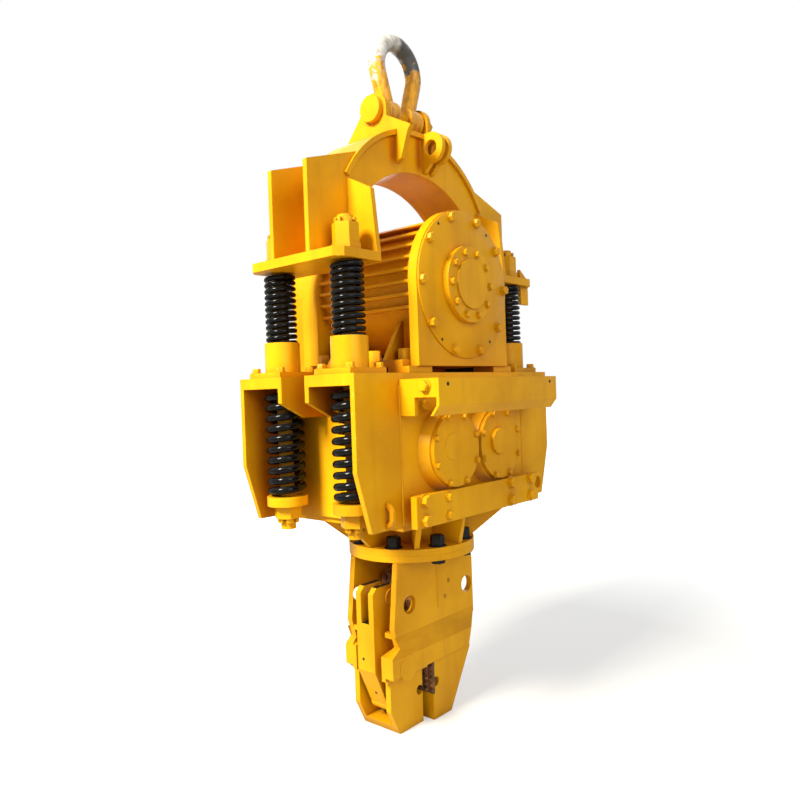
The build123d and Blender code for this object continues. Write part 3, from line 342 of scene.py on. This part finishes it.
def copies(shape, spots, way, spin=0.0):
    """Copies of a shape at spots, its Z axis along a way, each turned about it by its spin."""
    points, faces = shape
    spots = np.atleast_2d(np.array(spots, float))
    up = np.array(way, float) / np.linalg.norm(way)
    across = across_way(up)
    spin = np.broadcast_to(spin, len(spots))[:, None, None]
    turned_x = across * np.cos(spin) + np.cross(up, across) * np.sin(spin)
    turned_y = np.cross(up, turned_x)
    x, y, z = (points[None, :, i:i + 1] for i in range(3))
    every = spots[:, None] + x * turned_x + y * turned_y + z * up
    count = len(points)
    return every.reshape(-1, 3), [[i + k * count for i in face] for k in range(len(spots)) for face in faces]


def coil(low, high, mean_r, wire, turns):
    """A round bar along a helix: its height follows the turn, slower over the first and last turn."""
    sides = 14
    t = np.linspace(0, 1, int(turns * 30))
    pace = 0.55 + 0.45 * np.clip(np.minimum(t, 1 - t) * turns, 0, 1)
    rise = np.concatenate([[0], np.cumsum((pace[1:] + pace[:-1]) / 2)])
    z = low + wire / 2 + (high - low - wire) * rise / rise[-1]
    angle = 2 * np.pi * turns * t
    centre = np.stack([mean_r * np.cos(angle), mean_r * np.sin(angle), z], -1)
    along = np.gradient(centre, axis=0)
    along /= np.linalg.norm(along, axis=1, keepdims=True)
    outward = np.stack([np.cos(angle), np.sin(angle), 0 * angle], -1)
    upward = np.cross(along, outward)
    turn = np.linspace(0, 2 * np.pi, sides, endpoint=False)
    ring = outward[:, None] * np.cos(turn)[None, :, None] + upward[:, None] * np.sin(turn)[None, :, None]
    return tube(centre[:, None] + ring * wire / 2)


column_x, column_y = 0.500, 0.180
columns = [(sx * column_x, sy * column_y, 0) for sx in (-1, 1) for sy in (-1, 1)]
column_spins = (0.6, 0.9, 0.5, 0.8)
upright = (0, 0, 1)
spring_sizes = (("upper_springs", 0.0505, 0.019, 17.0), ("lower_springs", 0.060, 0.028, 10.0))
for node_name, mean_r, wire, turns in spring_sizes:
    low, high = box(node_name)
    wound = copies(coil(low[2], high[2], mean_r, wire, turns), columns, upright, column_spins)
    coils_name = node_name.replace("springs", "coils")
    springs = mesh_piece(coils_name, [wound], black_gloss, "hammer")
    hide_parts(node_name)


# Column nuts: castle crowns on the nuts at both ends of each column rod, with the split pin through the
# slots. Turned and milled steel, painted over with the rest.
def turned(profile, sides):
    """Closed solid turned about Z from (radius, height) points, bottom to top."""
    turn = np.linspace(0, 2 * np.pi, sides, endpoint=False)
    r, z = np.array(profile, float).T
    return tube(np.stack([r[:, None] * np.cos(turn), r[:, None] * np.sin(turn), z[:, None] + 0 * turn], -1))


def hexagon(flats, height, chamfer=0.12):
    """A hexagon head or nut of a width over flats, its rim turned down by a chamfer at the top."""
    corner = flats / math.sqrt(3)
    return turned([(corner, 0), (corner, height * (1 - chamfer)), (corner * 0.90, height)], 6)


def battlements(inner, outer, height, count, share):
    """A ring of blocks: a share of each pitch is block, the rest is slot, so that it looks milled."""
    blocks = []
    for k in range(count):
        turn = 2 * np.pi * (k + np.linspace(-share, share, 4) / 2) / count
        ring = np.concatenate([np.stack([outer * np.cos(turn), outer * np.sin(turn)], -1),
                               np.stack([inner * np.cos(turn), inner * np.sin(turn)], -1)[::-1]])
        blocks.append(tube(np.stack([np.column_stack([ring, np.full(8, z)]) for z in (0, height)])))
    return blocks


seat_t, upper_nut_h, lower_nut_z, pin_rise = 0.033, 0.094, 0.857, 0.010
seat_top = box("yoke_seat_left")[0][2] + seat_t
crown_high = [(x, y, seat_top + upper_nut_h) for x, y, _ in columns]
crown_low = [(x, y, lower_nut_z) for x, y, _ in columns]
crowns = []
for block in battlements(inner=0.029, outer=0.040, height=0.017, count=6, share=0.68):
    crowns += [copies(block, crown_high, upright), copies(block, crown_low, (0, 0, -1))]
split_pin = turned([(0.0030, -0.046), (0.0036, -0.044), (0.0036, 0.044), (0.0030, 0.046)], 8)
crowns.append(copies(split_pin, [(x, y, z + pin_rise) for x, y, z in crown_high], (1, 0, 0)))
crowns.append(copies(split_pin, [(x, y, z - pin_rise) for x, y, z in crown_low], (1, 0.3, 0)))
mesh_piece("castle_crowns", crowns, yellow, "hammer")


# Bolts on the motor, the covers, the sleeves and the bar: hexagon heads on flat washers, sprayed over.
# Each ring of bolts is one small mesh copied round, heads turned at random as a fitter leaves them.
# The motor's end shield and the hubs on the shaft covers are turned discs of the same steel.
def bolts(name, spots, way, flats, height, material=yellow, washer=1.25):
    """Hexagon heads with washers at spots, standing out along a way."""
    spins = np.random.default_rng(len(name)).uniform(0, np.pi / 3, len(spots))
    pad_t = 0.003
    pad_r = flats * washer / 2 * 1.15
    pad = turned([(pad_r, -0.001), (pad_r, pad_t)], 16)
    head = hexagon(flats, height)
    lifted = (head[0] + (0, 0, pad_t), head[1])
    shapes = [copies(pad, spots, way), copies(lifted, spots, way, spins)]
    return mesh_piece(name, shapes, material, "hammer")


def circle(centre, radius, count, first=0.0):
    """Spots round a circle in the XZ plane at the centre's Y, from a first angle in degrees."""
    turn = np.radians(first + 360 / count * np.arange(count))
    x, z = centre[0] + radius * np.cos(turn), centre[2] + radius * np.sin(turn)
    return np.stack([x, np.full(count, centre[1]), z], -1)


front = (0, -1, 0)
plate_low, plate_high = box("motor_front_plate")
motor_r = (plate_high[0] - plate_low[0]) / 2
motor_middle = np.array([0, plate_low[1], plate_high[2] - motor_r])
shield_t, shield_bolt_r = 0.006, 0.262
shield = turned([(motor_r - 0.004, -0.002), (motor_r - 0.004, shield_t - 0.001), (motor_r - 0.006, shield_t),
                 (0.205, shield_t), (0.165, 0.010), (0.150, 0.011)], 96)
mesh_piece("end_shield", [copies(shield, [motor_middle], front)], yellow, "hammer")
shield_face = motor_middle - (0, shield_t, 0)
bolts("shield_bolts", circle(shield_face, shield_bolt_r, 10), front, flats=0.030, height=0.016)
cap_face = np.array([0, box("motor_cap")[0][1] + 0.008, motor_middle[2]])
bolts("cap_bolts", circle(cap_face, 0.122, 10), front, flats=0.022, height=0.011)
hub_r, hub_shift = 0.050, (-0.025, 0, 0.012)
for name, rise in (("shaft_cover_left", 0.003), ("shaft_cover_right", 0.016)):
    low, high = box(name)
    middle = np.array([(low[0] + high[0]) / 2, low[1], (low[2] + high[2]) / 2])
    bolts(name + "_bolts", circle(middle, 0.128, 8, 22.5), front, flats=0.019, height=0.010)
    hub = turned([(hub_r, -0.001), (hub_r, rise - 0.002), (hub_r - 0.002, rise)], 64)
    mesh_piece(name + "_hub", [copies(hub, [middle + hub_shift], front)], yellow, "hammer")
flange_z = box("spring_sleeves")[0][2] + 0.020
corner = 0.070
sleeve_spots = [(x + i * corner, y + j * corner, flange_z)
                for x, y, _ in columns for i in (-1, 1) for j in (-1, 1)]
bolts("sleeve_bolts", sleeve_spots, upright, flats=0.027, height=0.015)
bar_y = box("lower_bar")[0][1]
bar_spots = [(x, bar_y, z) for x in (-0.355, 0.188, 0.335) for z in (0.871, 0.940)]
bolts("bar_bolts", bar_spots, front, flats=0.036, height=0.018)
bolts("bar_small_bolts", [(-0.220, bar_y, z) for z in (0.871, 0.936)], front, flats=0.026, height=0.013)
rail_low, rail_t, rail_bolt_x = 1.408, 0.024, 0.262
foot_spots = [(side * rail_bolt_x, y, rail_low + rail_t)
              for side in (-1, 1) for y in (-0.225, -0.075, 0.060, 0.200)]
bolts("motor_foot_bolts", foot_spots, upright, flats=0.046, height=0.040)
guard_x, guard_bolt_y, guard_bolt_z = 0.390, -0.420, 1.334
bolts("guard_bolts", [(-guard_x, guard_bolt_y, guard_bolt_z)], (-1, 0, 0), flats=0.034, height=0.017)
bolts("case_bolt", [(-0.263, -0.303, 1.267)], front, flats=0.036, height=0.018)
belt_low, belt_high = box("belt_guard")
belt_r, belt_low_r = (belt_high[0] - belt_low[0]) / 2, 0.200
belt_top = np.array([0, belt_high[1], belt_high[2] - belt_r])
belt_foot = np.array([0, belt_high[1], belt_low[2] + belt_low_r])
rim = 0.024
belt_spots = np.concatenate([circle(belt_top, belt_r - rim, 10)[:6],
                             circle(belt_foot, belt_low_r - rim, 10, 180)[:6]])
bolts("belt_guard_bolts", belt_spots, (0, 1, 0), flats=0.019, height=0.010)
bolts("guard_far_bolts", [(guard_x, guard_bolt_y, guard_bolt_z)], (1, 0, 0), flats=0.034, height=0.017)

# Adapter bolts: high-tensile screws left black, with their heads between the adapter's gussets.
# Four of the eight show their nuts under the clamp flange, outside the cheeks.
# Black oxide for the adapter's screws; the same black stands as painted shade in the sheet under the motor,
# the rail pads, the holes and the sockets.
black_and_shade, tree, shader, place = fresh("black_and_shade")
clouds = noise(tree, place, 0.01, 0.35, 0.65)
oxide = node(tree, "ShaderNodeMix", {**colours, 0: clouds, 6: "#0d0e11", 7: "#22211f"})
tree.links.new(oxide.outputs[2], shader.inputs["Base Color"])
shader.inputs["Roughness"].default_value = 0.42
shader.inputs["Specular IOR Level"].default_value = 0.2
bolt_r, adapter_t = 0.222, 0.025
bolt_flats, head_h, nut_h = 0.050, 0.040, 0.014
turns = np.radians(22.5 + 45 * np.arange(8))
ring = np.stack([bolt_r * np.cos(turns), bolt_r * np.sin(turns), 0 * turns], -1)
on_adapter = ring + (0, 0, box("adapter")[0][2] + adapter_t)
bolts("adapter_bolts", on_adapter, upright, bolt_flats, head_h, black_and_shade)
under = ring[[1, 2, 5, 6]] + (0, 0, box("clamp_flange")[0][2])
bolts("adapter_nuts", under, (0, 0, -1), bolt_flats, nut_h, black_and_shade)

# Motor apron: a black sheet of painted shade that closes the space between the motor's belly and the case,
# between the foot rails.
case_top = box("vibrator_case")[1][2]
belly_r, apron_half, apron_y, apron_t = 0.250, 0.199, 0.10, 0.006
across, drop = np.meshgrid(np.linspace(-apron_half, apron_half, 41), np.linspace(0, 1, 9), indexing="ij")
belly = motor_middle[2] - np.sqrt(belly_r ** 2 - across ** 2)
hang = case_top + (belly - case_top) * drop
wave = 0.003 * np.sin(60 * across)
sheets = [np.stack([across, apron_y + thick + wave, hang], -1) for thick in (0.0, apron_t)]
loop = np.concatenate([sheets[0], sheets[1][:, ::-1]], 1)
mesh_piece("motor_shade_sheet", [tube(loop)], black_and_shade, "hammer")

# Rail pads: strips of the same black, as painted shade under the foot rails, between the steel packing
# blocks.
# Their corners are cut off, and they lie just clear of the steel above and below.
pad_low, pad_high = case_top + 0.0002, rail_low - 0.0002
inner, outer, cut = 0.205, 0.325, 0.004
for name, low_y, high_y in (("rail_pads_front", -0.199, -0.052), ("rail_pads_rear", 0.052, 0.143)):
    edge = [(inner + cut, low_y), (outer - cut, low_y), (outer, low_y + cut), (outer, high_y - cut),
            (outer - cut, high_y), (inner + cut, high_y), (inner, high_y - cut), (inner, low_y + cut)]
    right_pad = np.stack([np.column_stack([np.array(edge), np.full(8, z)]) for z in (pad_low, pad_high)])
    left_pad = (right_pad * (-1, 1, 1))[:, ::-1]
    mesh_piece(name, [tube(right_pad), tube(left_pad)], black_and_shade, "hammer")


# Drilled holes: tapped jacking holes in the motor plate, guard, lever and clamp cheek, seen as dark discs.
# Each is a shallow black disc let into the face as painted shade of the hole, and the two on the cheek are
# plugged and painted.
def holes(name, spots, way, radius, body="hammer", material=black_and_shade):
    """Discs at spots that face along a way, dark unless they are given another material."""
    disc = turned([(radius, -0.002), (radius, 0.0006)], 16)
    mesh_piece(name, [copies(disc, spots, way)], material, body)


shield_spots = circle(shield_face, shield_bolt_r, 4, 54)[[0]].tolist()
shield_spots += [(sx * 0.155, shield_face[1], shield_face[2] + sz * 0.213)
                 for sx, sz in ((-1, 1), (-1, -1), (1, -1))]
holes("shield_holes", shield_spots, front, radius=0.006)
guard_y = box("front_guard")[0][1]
holes("guard_holes", [(-0.339, guard_y, 1.339), (0.339, guard_y, 1.339)], front, radius=0.007)
cheek_y = -0.125
plugged = enamel("plugged_enamel", "#b87c12", "#95600e")
plug_spots = [(0.079, cheek_y, 0.535), (0.053, cheek_y, 0.476)]
holes("cheek_holes", plug_spots, front, radius=0.009, material=plugged)
lever_low, lever_high = box("clamp_lever")
holes("lever_holes", [(lever_low[0], 0.015, 0.290)], (-1, 0, 0), radius=0.006, body="lever")
holes("lever_shin_hole", [(-0.2462, -0.004, 0.149)], (-0.911, 0, -0.412), radius=0.006, body="lever")

# Gland screws: a ring of socket head screws in the cylinder's gland, rusted like it.
# The sockets are black hexagons just proud of the heads, painted shade in place of the recesses.
gland_x = box("clamp_cylinder")[0][0]
screws, screw_ring_r, cylinder_z = 12, 0.073, 0.520
turn = 2 * np.pi * np.arange(screws) / screws
spots = np.stack([np.full(screws, gland_x), screw_ring_r * np.cos(turn),
                  cylinder_z + screw_ring_r * np.sin(turn)], -1)
screw = turned([(0.0100, -0.001), (0.0100, 0.011), (0.0092, 0.012)], 16)
mesh_piece("gland_screws", [copies(screw, spots, (-1, 0, 0))], gland_rust, "hammer")
socket = turned([(0.0055, 0.010), (0.0055, 0.0124)], 6)
mesh_piece("gland_sockets", [copies(socket, spots, (-1, 0, 0))], black_and_shade, "hammer")

# Jaw screw: one rusted head in the round notch on the right of the pile slot, read as the screw that holds
# the tooth insert. Its rim is turned down a little.
jaw_screw = turned([(0.0150, -0.002), (0.0150, 0.011), (0.0132, 0.013)], 16)
notch_spot = (-0.025, -0.100, 0.150)
mesh_piece("jaw_screws", [copies(jaw_screw, [notch_spot], front)], tooth_rust, "hammer")

# Pin cap: the white plastic cap on the far end of the lever's fork, pushed on and left unpainted.
# It is domed and slightly soiled.
white_cap, tree, shader, place = fresh("white_cap")
clouds = noise(tree, place, 0.02, 0.35, 0.65)
plastic = node(tree, "ShaderNodeMix", {**colours, 0: clouds, 6: "#f4efe6", 7: "#e2d8c8"})
tree.links.new(plastic.outputs[2], shader.inputs["Base Color"])
shader.inputs["Roughness"].default_value = 0.45
cap = turned([(0.026, 0.0), (0.028, 0.004), (0.028, 0.016), (0.024, 0.024), (0.014, 0.029)], 32)
cap_spot = (-0.258, lever_high[1], 0.530)
mesh_piece("fork_cap", [copies(cap, [cap_spot], (0, 1, 0))], white_cap, "lever")


# Welds: ripples of filler along the main seams, painted over with the rest.
# Each bead is a thin tube half sunk in the corner between two plates.
def bead(start, end, radius):
    """A weld bead from start to end: a tube whose radius swells once every 7 mm."""
    start, end = np.array(start, float), np.array(end, float)
    length = np.linalg.norm(end - start)
    t = np.linspace(0, 1, max(4, int(length / 0.0025)))
    up = (end - start) / length
    across = across_way(up)
    turn = np.linspace(0, 2 * np.pi, 6, endpoint=False)
    ring = across * np.cos(turn)[:, None] + np.cross(up, across) * np.sin(turn)[:, None]
    swell = radius * (1 + 0.13 * np.sin(2 * np.pi * t * length / 0.007))
    return tube(start + (end - start) * t[:, None, None] + ring[None] * swell[:, None, None])


web_y = -box("yoke_web_front")[0][1]
seat_end, leg_x, leg_gap, leg_top = 0.595, 0.390, 0.001, 2.085
case_y, case_low, case_high = 0.303, 0.853, 1.340
cheek_end, overlap, flange_low = 0.225, 0.002, 0.667
seam_r, case_seam_r = 0.006, 0.004
beads = []
for sx in (-1, 1):
    for sy in (-1, 1):
        foot_y, post_x = sy * web_y, sx * (leg_x + leg_gap)
        beads.append(bead((sx * seat_end, foot_y, seat_top), (sx * leg_x, foot_y, seat_top), seam_r))
        beads.append(bead((post_x, foot_y, seat_top), (post_x, foot_y, leg_top), seam_r))
        side_x, side_y = sx * leg_x, sy * case_y
        beads.append(bead((side_x, side_y, case_low), (side_x, side_y, case_high), case_seam_r))
        seam_y = -sy * cheek_y
        beads.append(bead((sx * cheek_end, seam_y, flange_low), (-sx * overlap, seam_y, flange_low), seam_r))
beads.append(bead((0.006, cheek_y, 0.443), (0.006, cheek_y, 0.655), 0.005))
mesh_piece("weld_beads", beads, yellow, "hammer")

# Studio: a pale floor that whitens away from the part, in a white surround. A warm key stands above the
# lever's side, with a broad weak fill in front and another behind on the right.
# The camera stands where the photograph was taken from.
floor_mesh = bpy.data.meshes.new("floor")
reach = 60.0
floor_corners = [(-reach, -reach, 0), (reach, -reach, 0), (reach, reach, 0), (-reach, reach, 0)]
floor_mesh.from_pydata(floor_corners, [], [(0, 1, 2, 3)])
floor = bpy.data.objects.new("floor", floor_mesh)
bpy.context.scene.collection.objects.link(floor)
pale, tree, shader, place = fresh("pale_floor")
shader.inputs["Base Color"].default_value = linear("#b4b4b2")
shader.inputs["Roughness"].default_value = 0.9
shader.inputs["Emission Color"].default_value = (1, 1, 1, 1)
straight = node(tree, "ShaderNodeLightPath", {}).outputs["Is Camera Ray"]
away = node(tree, "ShaderNodeVectorMath", {"operation": "LENGTH", 0: place}).outputs["Value"]
whiter = node(tree, "ShaderNodeMapRange", {"Value": away, 1: 1.6, 2: 4.0, 3: 0.42, 4: 1.0}).outputs[0]
glow = node(tree, "ShaderNodeMath", {**product, 0: straight, 1: whiter})
tree.links.new(glow.outputs[0], shader.inputs["Emission Strength"])
floor_mesh.materials.append(pale)

world = bpy.data.worlds.new("surround")
bpy.context.scene.world = world
world.use_nodes = True
tree = world.node_tree
tree.nodes.clear()
ray = node(tree, "ShaderNodeLightPath", {})
seen = ray.outputs["Is Camera Ray"]
for other in ("Is Glossy Ray", "Is Transmission Ray"):
    seen = node(tree, "ShaderNodeMath", {"operation": "MAXIMUM", 0: seen, 1: ray.outputs[other]}).outputs[0]
glow = node(tree, "ShaderNodeMapRange", {"Value": seen, 3: 0.38, 4: 1.0}).outputs[0]
sky = node(tree, "ShaderNodeBackground", {0: (1, 1, 1, 1), "Strength": glow}).outputs[0]
node(tree, "ShaderNodeOutputWorld", {"Surface": sky})


def set_down(made, axes, place):
    """Puts an object at a place with its X, Y and Z axes along three world directions."""
    made.matrix_world = Matrix([(*row, p) for row, p in zip(np.stack(axes, 1), place)] + [(0, 0, 0, 1)])


def lamp(name, place, aim, size, power, colour):
    """A square soft light at a place, turned to look at its aim."""
    light = bpy.data.lights.new(name, "AREA")
    light.size = size
    light.energy = power
    light.color = linear(colour)[:3]
    made = bpy.data.objects.new(name, light)
    bpy.context.scene.collection.objects.link(made)
    back = np.array(place, float) - np.array(aim, float)
    back /= np.linalg.norm(back)
    right = np.cross((0, 0, 1), back)
    right /= np.linalg.norm(right)
    set_down(made, (right, np.cross(back, right), back), place)


lamp("key", (-5.2, 0.3, 5.2), aim=(0, 0, 1.4), size=1.6, power=900.0, colour="#fffae8")
lamp("rear_fill", (4.0, 5.0, 3.6), aim=(0, 0, 1.3), size=4.0, power=200.0, colour="#ffffff")
lamp("fill", (-2.2, -6.0, 3.4), aim=(0, 0, 1.3), size=4.0, power=170.0, colour="#ffffff")

camera = bpy.data.cameras.new("camera")
camera.sensor_width = 36.0
camera.lens = 32.06
eye = bpy.data.objects.new("camera", camera)
bpy.context.scene.collection.objects.link(eye)
yaw, pitch, roll = (math.radians(a) for a in (-48.738, 0.678, -1.997))
back = np.array([math.sin(yaw) * math.cos(pitch), -math.cos(yaw) * math.cos(pitch), math.sin(pitch)])
right = np.array([math.cos(yaw), math.sin(yaw), 0.0])
up = np.cross(back, right)
tilted_right = right * math.cos(roll) + up * math.sin(roll)
tilted_up = -right * math.sin(roll) + up * math.cos(roll)
stand = (-2.2358, -1.9253, 1.3182)
set_down(eye, (tilted_right, tilted_up, back), stand)
bpy.context.scene.camera = eye
bpy.context.scene.view_settings.view_transform = "Standard"
